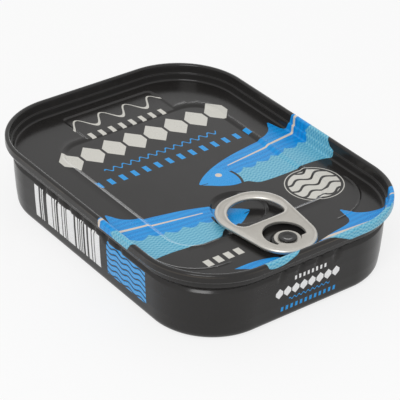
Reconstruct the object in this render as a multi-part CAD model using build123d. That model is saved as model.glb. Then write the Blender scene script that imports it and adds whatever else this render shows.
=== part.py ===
from build123d import *
import math
import os

# A seamed sardine tin with a ring-pull lid, modelled shut and full.
# Frame: +X along the tin towards the tab's nose, +Z up, origin at the middle of the base. Millimetres.
# Nodes: can_body (drawn body, filled, as nothing of the inside can be seen), lid (seam, countersink,
# panel and the rivet formed in it) and pull_tab (curled tab held by the rivet).

# ---- Overall size, over the seam
LENGTH = 102.4
WIDTH = 76.2
HEIGHT = 22.1
CORNER_RADIUS = 21.4

# ---- Seam that joins the lid to the body
SEAM_DEPTH = 2.7          # height of its outer face
SEAM_THICKNESS = 1.35     # outer face to the lid's countersink
SEAM_ROUND = 0.55         # rounding of the two top edges
SEAM_LIP = 0.25           # chamfer under the outer face
BODY_METAL = 0.25
LID_METAL = 0.3

# ---- Countersink: two walls with a small ledge between them
LEDGE_DEPTH = 2.6
LEDGE_WIDTH = 0.45
LEDGE_ROUND = 0.2
COUNTERSINK_LEAN = 0.28   # how far each of the two walls leans inwards
PANEL_DEPTH = 4.8
PANEL_ROUND = 0.6

# ---- Formed areas of the panel
FORMED_SLOPE = 50         # degrees, lean of the sides of each formed area from upright
FIELD_DEPTH = 0.5
FIELD_START = -32.8       # end of the sunk field nearest the plain end of the tin
FIELD_END = 28.8          # end of the sunk field under the tab
FIELD_MARGIN = 12.6       # seam's outer face to the long sides of the field
FIELD_CORNER = 8.0
PLATE_DEPTH = 0.3
PLATE_LENGTH = 13.0       # along X, from the field's end
PLATE_WIDTH = 31.0
PLATE_CORNER = 2.0
WELL_DEPTH = 0.9          # finger well under the ring
WELL_RADIUS = 8.0
WELL_CENTRE = 19.5
UNDER_MARGIN = 2.2        # panel's edge to the thicker block under the formed areas
LINE_WIDTH = 0.7          # raised line round the tab end of the panel
LINE_HEIGHT = 0.15
LINE_RADIUS = 14.5
LINE_MARGIN = 12.0        # seam's outer face to the raised line, at the short end
LINE_SIDE_MARGIN = 5.0    # the same, at the long sides

# ---- Body below the seam
NECK_DROP = 1.3           # lid's panel to the deepest point of the groove under the neck
NECK_INSET = 2.75
SHOULDER_DROP = 2.3       # lid's panel to where the wall starts
WALL_INSET = 2.25
WALL_TAPER = 0.95         # how far the wall leans in down to the base rounding
BASE_ROUND = 2.6
STAND_WIDTH = 1.6         # flat ring that the tin stands on
BASE_RISE = 1.2           # height of the base panel above the stand ring
BASE_SLOPE = 1.4

# ---- Slanting flutes across the shoulder, in the middle of each straight
FLUTE_RADIUS = 1.0
FLUTE_DEPTH = 0.4
FLUTE_LENGTH = 3.0        # without its round ends
SIDE_FLUTES = 7           # on each long side
SIDE_FLUTE_PITCH = 5.9
SIDE_FLUTE_SLANT = -55    # degrees from upright
SIDE_FLUTES_CENTRE = -3.0
END_FLUTES = 4            # on each short end
END_FLUTE_PITCH = 6.0
END_FLUTE_SLANT = 50
END_FLUTES_CENTRE = 1.0

# ---- Pull tab
RIVET_X = 40.0
TAB_THICKNESS = 1.4       # over the curled edge
TAB_GAP = 0.6             # panel to the underside of the tab
TAB_CURL = 0.55           # rounding of the curled edges
TAB_LENGTH = 30.6
TAB_WIDTH = 21.2
TAB_SHOULDER = 9.2        # radius of the two corners of the ring
NOSE_RADIUS = 8.8
NOSE_REACH = 7.2          # rivet's centre to the tip of the nose
RING_BAND = 2.8           # ring's width round the finger hole
HOLE_LENGTH = 11.1        # finger hole, along X
HOLE_CORNER = 2.6
SLOT_RADIUS = 5.7
SLOT_SHIFT = 1.4          # slot's centre behind the rivet's centre
TONGUE_RADIUS = 3.6
TONGUE_THICKNESS = 0.6
TONGUE_ROOT = 1.7         # rivet's centre to the ends of the slot

# ---- Rivet, formed from the lid
RIVET_BOSS_RADIUS = 3.9
RIVET_POST_RADIUS = 1.6
RIVET_HEAD_RADIUS = 2.5
RIVET_HEAD_HEIGHT = 0.45
RIVET_CLEARANCE = 0.05    # between the post and the tongue's hole, all round

# ---- Worked out from the sizes above
SEAM_FOOT = HEIGHT - SEAM_DEPTH
PANEL_Z = HEIGHT - PANEL_DEPTH
LEDGE_Z = HEIGHT - LEDGE_DEPTH
PANEL_UNDER_Z = PANEL_Z - LID_METAL
NECK_Z = PANEL_Z - NECK_DROP
SHOULDER_Z = PANEL_Z - SHOULDER_DROP
FIELD_UNDER_Z = PANEL_UNDER_Z - FIELD_DEPTH - WELL_DEPTH
LEDGE_INSET = SEAM_THICKNESS + COUNTERSINK_LEAN
COUNTERSINK = LEDGE_INSET + LEDGE_WIDTH + COUNTERSINK_LEAN   # inset of the panel's edge
UNDER_INSET = COUNTERSINK + UNDER_MARGIN
BODY_TOP_INSET = LEDGE_INSET - LID_METAL - BODY_METAL
WALL_FOOT_INSET = WALL_INSET + WALL_TAPER
STAND_INSET = WALL_FOOT_INSET + BASE_ROUND
TAB_BOTTOM = PANEL_Z + TAB_GAP
TONGUE_TOP = TAB_BOTTOM + TONGUE_THICKNESS
NOSE_TIP = RIVET_X + NOSE_REACH
RING_END = NOSE_TIP - TAB_LENGTH


def section_face(corners):
    """A face in the XZ plane from (inset from the seam's outer face, height, rounding) corners."""
    places = [(CORNER_RADIUS - inset, height) for inset, height, _ in corners]
    face = make_face(Polyline(*reversed(places), close=True))
    for place, (_, _, rounding) in zip(places, corners):
        if rounding:
            corner = face.vertices().sort_by_distance(Vector(*place))[0]
            face = fillet(corner, rounding)
    return Plane.XZ * face


def carry_round(section):
    """Carries a section round the tin's outline: four straights and four quarter turns."""
    straight_x = LENGTH / 2 - CORNER_RADIUS
    straight_y = WIDTH / 2 - CORNER_RADIUS
    quarter_turn = revolve(section, Axis.Z, 90)
    pieces = []
    for quarter, (side_x, side_y) in enumerate([(1, 1), (-1, 1), (-1, -1), (1, -1)]):
        corner = Pos(side_x * straight_x, side_y * straight_y)
        run = 2 * (straight_x if quarter % 2 == 0 else straight_y)
        straight = extrude(section, amount=run, dir=(0, 1, 0))
        pieces.append(corner * Rot(0, 0, 90 * quarter) * quarter_turn)
        pieces.append(corner * Rot(0, 0, 90 * (quarter + 1)) * straight)
    return pieces[0].fuse(*pieces[1:])


def slab(inset, bottom, top):
    """A flat block of the tin's outline, moved inwards by inset, between two heights."""
    across = RectangleRounded(LENGTH - 2 * inset, WIDTH - 2 * inset, CORNER_RADIUS - inset)
    return extrude(Pos(0, 0, bottom) * across, top - bottom)


def formed_area(sketch, depth, top):
    """The tool that presses an area with leaning sides into a surface at height top."""
    shrink = depth * math.tan(math.radians(FORMED_SLOPE))
    floor = Pos(0, 0, top - depth) * offset(sketch, -shrink)
    return loft([floor, Pos(0, 0, top) * sketch]) + extrude(Pos(0, 0, top) * sketch, LID_METAL)


def rounded_block(start, end, width, corner):
    """A rounded rectangle from start to end along X, centred across Y."""
    return Pos((start + end) / 2, 0) * RectangleRounded(end - start, width, corner)


def disc(radius, bottom, top, centre_x=0.0):
    """An upright cylinder between two heights."""
    return extrude(Pos(centre_x, 0, bottom) * Circle(radius), top - bottom)


def flute_tools():
    """Slanting round-ended bars that press the flutes into the shoulder on the four straights."""
    bar_inset = WALL_INSET + FLUTE_DEPTH - FLUTE_RADIUS
    bar = Cylinder(FLUTE_RADIUS, FLUTE_LENGTH)
    for end in (-1, 1):
        bar += Pos(0, 0, end * FLUTE_LENGTH / 2) * Sphere(FLUTE_RADIUS)
    long = (WIDTH / 2, SIDE_FLUTES, SIDE_FLUTE_PITCH, SIDE_FLUTE_SLANT, SIDE_FLUTES_CENTRE)
    short = (LENGTH / 2, END_FLUTES, END_FLUTE_PITCH, END_FLUTE_SLANT, END_FLUTES_CENTRE)
    tools = []
    for quarter, (half, count, pitch, slant, centre) in enumerate([long, short] * 2):
        for number in range(count):
            along = centre + (number - (count - 1) / 2) * pitch
            place = Pos(along, bar_inset - half, SHOULDER_Z) * Rot(0, slant, 0)
            tools.append(Rot(0, 0, 90 * quarter) * place * bar)
    return tools


def make_can_body():
    """The drawn body and its contents as one solid, up to the lid's underside."""
    stand_inner = STAND_INSET + STAND_WIDTH
    base_edge = stand_inner + BASE_SLOPE
    core = base_edge + 1.0
    section = section_face([
        (core, FIELD_UNDER_Z, 0),
        (UNDER_INSET, FIELD_UNDER_Z, 0),
        (UNDER_INSET, PANEL_UNDER_Z, 0),
        (COUNTERSINK - LID_METAL, PANEL_UNDER_Z, 0),
        (LEDGE_INSET - LID_METAL, SEAM_FOOT, 0),
        (BODY_TOP_INSET, SEAM_FOOT, 0),
        (BODY_TOP_INSET + COUNTERSINK_LEAN, PANEL_Z, 0),
        (NECK_INSET, NECK_Z, 0.35),
        (WALL_INSET, SHOULDER_Z, 0.8),
        (WALL_FOOT_INSET, 0, BASE_ROUND),
        (stand_inner, 0, 0.3),
        (base_edge, BASE_RISE, 0.3),
        (core, BASE_RISE, 0),
    ])
    body = carry_round(section) + slab(core, BASE_RISE, FIELD_UNDER_Z)
    return body - flute_tools()


def make_rivet():
    """The boss, post and head drawn up from the lid's panel to hold the tab."""
    boss_foot = Pos(RIVET_X, 0, PANEL_Z - LID_METAL) * Circle(RIVET_BOSS_RADIUS + TAB_GAP)
    boss_top = Pos(RIVET_X, 0, TAB_BOTTOM) * Circle(RIVET_BOSS_RADIUS)
    head_top = TONGUE_TOP + RIVET_HEAD_HEIGHT
    head = disc(RIVET_HEAD_RADIUS, TONGUE_TOP, head_top, RIVET_X)
    head = fillet(head.edges().group_by(Axis.Z)[-1], RIVET_HEAD_HEIGHT / 2)
    post = disc(RIVET_POST_RADIUS, TAB_BOTTOM, TONGUE_TOP, RIVET_X)
    return loft([boss_foot, boss_top]) + post + head


def make_raised_line():
    """The thin raised line round the two corners of the panel at the tab's end."""
    half = LINE_WIDTH / 2
    section = make_face(Polyline(
        (LINE_RADIUS - half, PANEL_Z - LID_METAL),
        (LINE_RADIUS - half, PANEL_Z),
        (LINE_RADIUS, PANEL_Z + LINE_HEIGHT),
        (LINE_RADIUS + half, PANEL_Z),
        (LINE_RADIUS + half, PANEL_Z - LID_METAL),
        close=True,
    ))
    line = revolve(Plane.XZ * section, Axis.Z, 90)
    centre_x = LENGTH / 2 - LINE_MARGIN - LINE_RADIUS
    centre_y = WIDTH / 2 - LINE_SIDE_MARGIN - LINE_RADIUS
    return Pos(centre_x, centre_y) * line + Pos(centre_x, -centre_y) * Rot(0, 0, -90) * line


def make_lid():
    """Seam, countersink and panel with its formed areas, and the rivet that holds the tab."""
    section = section_face([
        (SEAM_LIP, SEAM_FOOT, 0),
        (0, SEAM_FOOT + SEAM_LIP, 0),
        (0, HEIGHT, SEAM_ROUND),
        (SEAM_THICKNESS, HEIGHT, SEAM_ROUND),
        (LEDGE_INSET, LEDGE_Z, LEDGE_ROUND),
        (LEDGE_INSET + LEDGE_WIDTH, LEDGE_Z, LEDGE_ROUND),
        (COUNTERSINK, PANEL_Z, PANEL_ROUND),
        (UNDER_INSET + LID_METAL, PANEL_Z, 0),
        (UNDER_INSET + LID_METAL, PANEL_UNDER_Z, 0),
        (COUNTERSINK - LID_METAL, PANEL_UNDER_Z, 0),
        (LEDGE_INSET - LID_METAL, SEAM_FOOT, 0),
    ])
    lid = carry_round(section) + slab(UNDER_INSET, FIELD_UNDER_Z, PANEL_Z)
    field_width = WIDTH - 2 * FIELD_MARGIN
    field = rounded_block(FIELD_START, FIELD_END, field_width, FIELD_CORNER)
    plate_start = FIELD_START - PLATE_LENGTH
    plate = rounded_block(plate_start, FIELD_START + 2 * PLATE_CORNER, PLATE_WIDTH, PLATE_CORNER)
    well = Pos(WELL_CENTRE, 0) * Circle(WELL_RADIUS)
    lid -= formed_area(field, FIELD_DEPTH, PANEL_Z)
    lid -= formed_area(plate, PLATE_DEPTH, PANEL_Z)
    lid -= formed_area(well, WELL_DEPTH, PANEL_Z - FIELD_DEPTH)
    return lid + make_raised_line() + make_rivet()


def make_pull_tab():
    """The curled tab: a ring to pull, a nose at the seam and a thin tongue under the rivet."""
    ring_corner = RING_END + TAB_SHOULDER
    edges = (Pos(NOSE_TIP - NOSE_RADIUS, 0) * Circle(NOSE_RADIUS)).edges()
    for side in (-1, 1):
        corner_y = side * (TAB_WIDTH / 2 - TAB_SHOULDER)
        edges += (Pos(ring_corner, corner_y) * Circle(TAB_SHOULDER)).edges()
    outside = make_hull(edges)

    hole_start = RING_END + RING_BAND
    hole_radius = TAB_WIDTH / 2 - RING_BAND
    hole = Pos(hole_start + hole_radius, 0) * Circle(hole_radius)
    hole &= Pos(hole_start + HOLE_LENGTH / 2, 0) * Rectangle(HOLE_LENGTH, TAB_WIDTH)
    hole = fillet(hole.vertices().group_by(Axis.X)[-1], HOLE_CORNER)

    tab = extrude(Pos(0, 0, TAB_BOTTOM) * (outside - hole), TAB_THICKNESS)
    curled = tab.edges().group_by(Axis.Z)
    tab = fillet(curled[-1] + curled[0], TAB_CURL)

    root = RIVET_X + TONGUE_ROOT
    slot = Pos(RIVET_X - SLOT_SHIFT, 0) * Circle(SLOT_RADIUS)
    slot &= Pos(root - SLOT_RADIUS, 0) * Rectangle(2 * SLOT_RADIUS, 2 * SLOT_RADIUS)
    slot += Pos(RIVET_X, 0) * Circle(TONGUE_RADIUS)
    tab -= extrude(Pos(0, 0, TAB_BOTTOM) * slot, TAB_THICKNESS)
    tab += disc(TONGUE_RADIUS, TAB_BOTTOM, TONGUE_TOP, RIVET_X)
    return tab - disc(RIVET_POST_RADIUS + RIVET_CLEARANCE, TAB_BOTTOM, TONGUE_TOP, RIVET_X)


def main():
    """Writes one STEP file for each node."""
    os.makedirs("parts", exist_ok=True)
    nodes = {"can_body": make_can_body(), "lid": make_lid(), "pull_tab": make_pull_tab()}
    for name, shape in nodes.items():
        export_step(shape, f"parts/{name}.step")


if __name__ == "__main__":
    main()
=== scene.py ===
"""A shut sardine tin with a ring-pull lid: drawn body, seamed lid and curled pull tab.

Sizes inside the classes are millimetres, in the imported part's frame: +X along the tin towards
the tab's nose, +Z up, origin at the middle of the base. Meshes are written in metres.
"""
import sys

import logging
import math
from dataclasses import dataclass, field
from enum import Enum
from typing import Any, Dict, List, Optional, Sequence, Tuple, Union

import bmesh
import bpy
import numpy as np
from mathutils import Matrix, Vector
from mathutils.geometry import delaunay_2d_cdt


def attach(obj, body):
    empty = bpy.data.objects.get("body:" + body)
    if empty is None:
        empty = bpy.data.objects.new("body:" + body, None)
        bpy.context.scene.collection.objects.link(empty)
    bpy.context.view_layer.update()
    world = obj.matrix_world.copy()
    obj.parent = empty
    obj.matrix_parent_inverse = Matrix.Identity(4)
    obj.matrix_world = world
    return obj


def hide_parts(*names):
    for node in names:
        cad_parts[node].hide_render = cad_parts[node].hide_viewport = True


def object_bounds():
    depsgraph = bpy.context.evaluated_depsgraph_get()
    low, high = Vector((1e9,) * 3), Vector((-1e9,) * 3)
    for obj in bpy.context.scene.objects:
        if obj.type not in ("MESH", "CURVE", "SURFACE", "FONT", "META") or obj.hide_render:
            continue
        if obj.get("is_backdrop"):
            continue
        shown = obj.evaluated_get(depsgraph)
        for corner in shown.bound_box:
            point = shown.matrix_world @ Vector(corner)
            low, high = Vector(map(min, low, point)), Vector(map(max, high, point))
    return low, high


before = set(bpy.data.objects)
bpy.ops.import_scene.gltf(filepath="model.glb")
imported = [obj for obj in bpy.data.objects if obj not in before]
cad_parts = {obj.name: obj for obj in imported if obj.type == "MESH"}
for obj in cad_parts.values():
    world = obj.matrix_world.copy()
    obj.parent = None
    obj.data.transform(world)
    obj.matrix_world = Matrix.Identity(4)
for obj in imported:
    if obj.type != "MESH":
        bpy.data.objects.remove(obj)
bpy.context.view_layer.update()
LOG = logging.getLogger("tin")
MM = 0.001
STRAIGHT = 0.9999     # share of an axis past which an outward direction is on a straight wall
SHARP_ANGLE = 38.0    # degrees between two faces past which their edge shades sharp
WELD = 0.002          # millimetres under which points are merged
CORNER_PIECES = 6     # fewest pieces of a rounded corner
OUTLINE_RUN = 2.0     # longest piece of an outline's straight run, in millimetres
Colour = Tuple[float, float, float, float]
Spot = Tuple[float, float]
Area = Tuple[float, float, float, float]


# ---------------------------------------------------------------- node trees
class Signal:
    """A node's output that works in Python expressions; each operator adds one Math node."""

    def __init__(self, bench: "Bench", socket: bpy.types.NodeSocket) -> None:
        """Wraps a socket.

        Args:
            bench: The bench whose tree the socket is in.
            socket: The output socket.
        """
        self.bench = bench
        self.socket = socket

    def math(self, operation: str, *others: "Number", clamp: bool = False) -> "Signal":
        """Adds one Math node.

        Args:
            operation: The node's operation.
            others: What follows this signal in the node's inputs.
            clamp: Whether the result is held between 0 and 1.

        Returns:
            The node's result.
        """
        return self.bench.math(operation, self, *others, clamp=clamp)

    def __add__(self, other: "Number") -> "Signal":
        """Sum."""
        return self.math("ADD", other)

    __radd__ = __add__

    def __sub__(self, other: "Number") -> "Signal":
        """Difference."""
        return self.math("SUBTRACT", other)

    def __rsub__(self, other: "Number") -> "Signal":
        """Difference, with the signal second."""
        return self.bench.math("SUBTRACT", other, self)

    def __mul__(self, other: "Number") -> "Signal":
        """Product."""
        return self.math("MULTIPLY", other)

    __rmul__ = __mul__

    def __truediv__(self, other: "Number") -> "Signal":
        """Quotient."""
        return self.math("DIVIDE", other)

    def __abs__(self) -> "Signal":
        """Size without sign."""
        return self.math("ABSOLUTE")

    def __or__(self, other: "Signal") -> "Signal":
        """Larger of two, which joins two masks."""
        return self.math("MAXIMUM", other)

    def clamped(self) -> "Signal":
        """The signal held between 0 and 1."""
        return self.math("MULTIPLY", 1.0, clamp=True)


Number = Union[Signal, float, int]


class Bench:
    """Adds nodes to one tree."""

    def __init__(self, tree: bpy.types.NodeTree) -> None:
        """Takes the tree to work on.

        Args:
            tree: A shader or geometry node tree.
        """
        self.tree = tree

    def add(self, kind: str, settings: Optional[Dict[str, Any]] = None,
            inputs: Optional[Dict[Any, Any]] = None) -> bpy.types.Node:
        """Adds any node.

        Args:
            kind: The node's type.
            settings: Its settings, set first. "points" fills a curve.
            inputs: Values or signals for its sockets, by name or index.

        Returns:
            The node.
        """
        node = self.tree.nodes.new(kind)
        for key, value in (settings or {}).items():
            if key == "points":
                curve = node.mapping.curves[0]
                while len(curve.points) < len(value):
                    curve.points.new(0.5, 0.5)
                for point, place in zip(curve.points, value):
                    point.location = place
                node.mapping.update()
            else:
                setattr(node, key, value)
        for key, value in (inputs or {}).items():
            if isinstance(value, Signal):
                self.tree.links.new(value.socket, node.inputs[key])
            else:
                node.inputs[key].default_value = value
        return node

    def out(self, node: bpy.types.Node, key: Any = 0) -> Signal:
        """One output of a node as a signal."""
        return Signal(self, node.outputs[key])

    def math(self, operation: str, *values: Number, clamp: bool = False) -> Signal:
        """Adds one Math node.

        Args:
            operation: The node's operation.
            values: Its inputs, in order.
            clamp: Whether the result is held between 0 and 1.

        Returns:
            The node's result.
        """
        settings = {"operation": operation, "use_clamp": clamp}
        return self.out(self.add("ShaderNodeMath", settings, dict(enumerate(values))))

    def vector(self, operation: str, *values: Any, key: Any = 0) -> Signal:
        """Adds one Vector Math node.

        Args:
            operation: The node's operation.
            values: Its inputs, in order.
            key: The output wanted.

        Returns:
            The node's result.
        """
        node = self.add("ShaderNodeVectorMath", {"operation": operation}, dict(enumerate(values)))
        return self.out(node, key)

    def scaled(self, vector: Signal, factor: Signal) -> Signal:
        """A vector times a number."""
        return self.out(self.add("ShaderNodeVectorMath", {"operation": "SCALE"},
                                 {0: vector, "Scale": factor}))

    def split(self, vector: Signal) -> Tuple[Signal, Signal, Signal]:
        """The three parts of a vector."""
        node = self.add("ShaderNodeSeparateXYZ", inputs={0: vector})
        return self.out(node, 0), self.out(node, 1), self.out(node, 2)

    def blend(self, factor: Number, first: Any, second: Any) -> Signal:
        """Adds a colour Mix node.

        Args:
            factor: The share of the second colour.
            first: Colour or signal.
            second: Colour or signal.

        Returns:
            The mixed colour.
        """
        node = self.add("ShaderNodeMix", {"data_type": "RGBA"}, {0: factor, 6: first, 7: second})
        return self.out(node, 2)

    def close(self, kind: str, last: bpy.types.Node) -> None:
        """Joins the last node to a new output node."""
        self.tree.links.new(last.outputs[0], self.add(kind).inputs[0])


def fresh_bench(owner: Union[bpy.types.Material, bpy.types.World]) -> Bench:
    """Empties an owner's node tree.

    Args:
        owner: A material or a world.

    Returns:
        A bench on its tree.
    """
    owner.use_nodes = True
    owner.node_tree.nodes.clear()
    return Bench(owner.node_tree)


# ---------------------------------------------------------------- shapes in plan and in section
Loop = np.ndarray


def rounded_outline(half_x: float, half_y: float, radius: float, step: float = 0.8,
                    centre: Tuple[float, float] = (0.0, 0.0)) -> Loop:
    """Points round a rounded rectangle, anticlockwise.

    Args:
        half_x: Half its length.
        half_y: Half its width.
        radius: Corner radius.
        step: Spacing of the points.
        centre: Its middle.

    Returns:
        Points, one row each.
    """
    turns = max(CORNER_PIECES, int(math.pi / 2 * radius / step) + 1)
    points: List[Tuple[float, float]] = []
    for quarter, (sx, sy) in enumerate([(1, 1), (-1, 1), (-1, -1), (1, -1)]):
        cx, cy = sx * (half_x - radius), sy * (half_y - radius)
        for k in range(turns + 1):
            a = (quarter + k / turns) * math.pi / 2
            points.append((centre[0] + cx + radius * math.cos(a),
                           centre[1] + cy + radius * math.sin(a)))
    return fill_runs(np.array(points), OUTLINE_RUN)


def fill_runs(points: Loop, longest: float) -> Loop:
    """Adds points on the long runs of a closed loop.

    Args:
        points: The loop.
        longest: The longest run left.

    Returns:
        The loop with more points.
    """
    filled = []
    for start, end in zip(points, np.roll(points, -1, axis=0)):
        parts = max(1, int(math.ceil(np.hypot(*(end - start)) / longest)))
        filled += [start + (end - start) * k / parts for k in range(parts)]
    return np.array(filled)


def circle(radius: float, centre: Tuple[float, float], count: int) -> Loop:
    """Points round a circle, anticlockwise."""
    a = np.arange(count) * 2 * math.pi / count
    return np.stack([centre[0] + radius * np.cos(a), centre[1] + radius * np.sin(a)], 1)


def box_distance(x: np.ndarray, y: np.ndarray, half_x: float, half_y: float, radius: float,
                 centre: Tuple[float, float] = (0.0, 0.0)) -> np.ndarray:
    """Distance to a rounded rectangle.

    Args:
        x: Places in x.
        y: Places in y.
        half_x: Half its length.
        half_y: Half its width.
        radius: Corner radius.
        centre: Its middle.

    Returns:
        Distances, negative inside.
    """
    qx = np.abs(x - centre[0]) - half_x + radius
    qy = np.abs(y - centre[1]) - half_y + radius
    outside = np.hypot(np.maximum(qx, 0), np.maximum(qy, 0))
    return outside + np.minimum(np.maximum(qx, qy), 0) - radius


def loop_distance(places: np.ndarray, loop: Loop) -> np.ndarray:
    """Distance from places to the nearest point of a closed loop's runs.

    Args:
        places: Points, one row each.
        loop: The loop.

    Returns:
        One distance for each place, negative inside the loop.
    """
    start, run = loop, np.roll(loop, -1, axis=0) - loop
    squared = np.maximum((run ** 2).sum(1), 1e-12)
    nearest = np.full(len(places), 1e9)
    inside = np.zeros(len(places), bool)
    for (sx, sy), (rx, ry), sq in zip(start, run, squared):
        dx, dy = places[:, 0] - sx, places[:, 1] - sy
        t = np.clip((dx * rx + dy * ry) / sq, 0, 1)
        nearest = np.minimum(nearest, np.hypot(dx - t * rx, dy - t * ry))
        crosses = (sy > places[:, 1]) != (sy + ry > places[:, 1])
        if ry:
            inside ^= crosses & (places[:, 0] < sx + (places[:, 1] - sy) * rx / ry)
    return np.where(inside, -nearest, nearest)


def ease(value: np.ndarray) -> np.ndarray:
    """A smooth step from 0 to 1."""
    t = np.clip(value, 0, 1)
    return t * t * (3 - 2 * t)


def round_section(corners: Sequence[Tuple[float, float, float]], turns: int = 7,
                  longest: float = 1.2) -> np.ndarray:
    """A section line with its corners rounded.

    Args:
        corners: (inset, height, rounding) of each corner.
        turns: Pieces of each rounding.
        longest: The longest straight piece.

    Returns:
        Points (inset, height), one row each.
    """
    places = np.array([c[:2] for c in corners], float)
    points: List[np.ndarray] = []
    for k, (_, _, radius) in enumerate(corners):
        here = places[k]
        if not radius or k in (0, len(corners) - 1):
            points.append(here)
            continue
        before, after = places[k - 1] - here, places[k + 1] - here
        before, after = before / np.hypot(*before), after / np.hypot(*after)
        half = math.acos(float(np.clip(before @ after, -1, 1))) / 2
        reach = radius / math.tan(half)
        middle = here + (before + after) / np.hypot(*(before + after)) * radius / math.sin(half)
        first, last = here + before * reach - middle, here + after * reach - middle
        sweep = math.pi - 2 * half
        for step in range(turns + 1):
            t = step / turns
            blend = math.sin((1 - t) * sweep) * first + math.sin(t * sweep) * last
            points.append(middle + blend / math.sin(sweep))
    line = [points[0]]
    for point in points[1:]:
        gap = np.hypot(*(point - line[-1]))
        if gap > 1e-6:
            parts = max(1, int(math.ceil(gap / longest)))
            start = line[-1]
            line += [start + (point - start) * k / parts for k in range(1, parts + 1)]
    return np.array(line)


# ---------------------------------------------------------------- meshes
def mesh_object(name: str, places: np.ndarray, faces: Sequence[Sequence[int]],
                edges: Sequence[Sequence[int]] = ()) -> bpy.types.Object:
    """Makes an object from places in millimetres.

    Args:
        name: Its name.
        places: Points, one row each.
        faces: Corner numbers of each face.
        edges: Corner numbers of each loose edge.

    Returns:
        The linked object.
    """
    mesh = bpy.data.meshes.new(name)
    mesh.from_pydata((np.asarray(places, float) * MM).tolist(), [list(e) for e in edges],
                     [list(f) for f in faces])
    made = bpy.data.objects.new(name, mesh)
    bpy.context.scene.collection.objects.link(made)
    return made


def fill_plan(loops: Sequence[Loop], loose: np.ndarray) -> Tuple[np.ndarray, np.ndarray]:
    """Triangles in plan that keep to every loop.

    Args:
        loops: Closed loops that edges follow. The first is the outside.
        loose: Points with no edge of their own.

    Returns:
        Points and triangles, facing up.
    """
    coords: List[Vector] = []
    edges: List[Tuple[int, int]] = []
    for loop in loops:
        first, count = len(coords), len(loop)
        coords += [Vector(p) for p in loop]
        edges += [(first + k, first + (k + 1) % count) for k in range(count)]
    coords += [Vector(p) for p in loose]
    points, _, tris, _, _, _ = delaunay_2d_cdt(coords, edges, [], 1, 1e-5)
    places = np.array([tuple(p) for p in points])
    faces = np.array([t for t in tris if len(t) == 3])
    a, b, c = places[faces[:, 0]], places[faces[:, 1]], places[faces[:, 2]]
    area = (b[:, 0] - a[:, 0]) * (c[:, 1] - a[:, 1]) - (b[:, 1] - a[:, 1]) * (c[:, 0] - a[:, 0])
    faces[area < 0] = faces[area < 0][:, ::-1]
    return places, faces[np.abs(area) > 1e-9]


def spin(name: str, line: np.ndarray, centre: Spot, count: int, ring: bool) -> bpy.types.Object:
    """Turns a section line round an upright axis.

    Args:
        name: The object's name.
        line: Points (radius, height), one row each.
        centre: Where the axis stands.
        count: Points round it.
        ring: Whether the line's end joins its start.

    Returns:
        The object.
    """
    angles = np.arange(count) * 2 * math.pi / count
    places = [(centre[0] + r * math.cos(a), centre[1] + r * math.sin(a), z)
              for r, z in line for a in angles]
    faces = []
    for k in range(len(line) if ring else len(line) - 1):
        here, above = k * count, (k + 1) % len(line) * count
        faces += [(here + j, here + (j + 1) % count, above + (j + 1) % count, above + j)
                  for j in range(count)]
    return mesh_object(name, np.array(places), faces)


def close_up(made: bpy.types.Object) -> None:
    """Welds, caps open loops, turns faces outwards and shades a finished mesh.

    Args:
        made: The object.
    """
    work = bmesh.new()
    work.from_mesh(made.data)
    bmesh.ops.remove_doubles(work, verts=work.verts, dist=WELD * MM)
    bmesh.ops.dissolve_degenerate(work, edges=work.edges, dist=1e-8)
    bmesh.ops.holes_fill(work, edges=[e for e in work.edges if e.is_boundary], sides=0)
    bmesh.ops.recalc_face_normals(work, faces=work.faces)
    loose = [v for v in work.verts if not v.link_faces]
    bmesh.ops.delete(work, geom=loose, context="VERTS")
    open_edges = sum(1 for e in work.edges if not e.is_manifold)
    work.to_mesh(made.data)
    work.free()
    made.data.shade_smooth()
    made.data.set_sharp_from_angle(angle=math.radians(SHARP_ANGLE))
    made.data.update()
    LOG.info("%s: %d faces, %d open edges", made.name, len(made.data.polygons), open_edges)


def join(name: str, parts: Sequence[bpy.types.Object]) -> bpy.types.Object:
    """Joins meshes into one object.

    Args:
        name: The name of the result.
        parts: The objects, which are used up.

    Returns:
        The joined object.
    """
    with bpy.context.temp_override(active_object=parts[0], object=parts[0],
                                   selected_objects=list(parts),
                                   selected_editable_objects=list(parts)):
        bpy.ops.object.join()
    parts[0].name = name
    return parts[0]


# ---------------------------------------------------------------- sizes of the tin
@dataclass(frozen=True)
class TinSizes:
    """Sizes that the body and the lid share, in millimetres."""

    length: float
    width: float
    height: float
    corner: float = 21.4
    seam_depth: float = 2.7
    panel_depth: float = 4.8
    edge_inset: float = 2.36
    path_points: int = 640

    @classmethod
    def from_frame(cls) -> "TinSizes":
        """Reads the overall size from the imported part.

        Returns:
            The sizes.
        """
        low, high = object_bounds()
        span = (high - low) / MM
        return cls(round(span.x, 2), round(span.y, 2), round(span.z, 2))

    @property
    def panel_z(self) -> float:
        """Height of the lid's panel."""
        return self.height - self.panel_depth

    @property
    def foot_z(self) -> float:
        """Height of the seam's foot."""
        return self.height - self.seam_depth


@dataclass(frozen=True)
class Flutes:
    """Slanting flutes pressed across the shoulder, in millimetres."""

    depth: float = 0.55
    radius: float = 0.95
    half_length: float = 1.9
    height: float = 15.6
    side_count: int = 7
    side_pitch: float = 5.9
    side_slant: float = -60.0
    side_centre: float = -3.0
    end_count: int = 4
    end_pitch: float = 6.0
    end_slant: float = 50.0
    end_centre: float = 1.0


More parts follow.
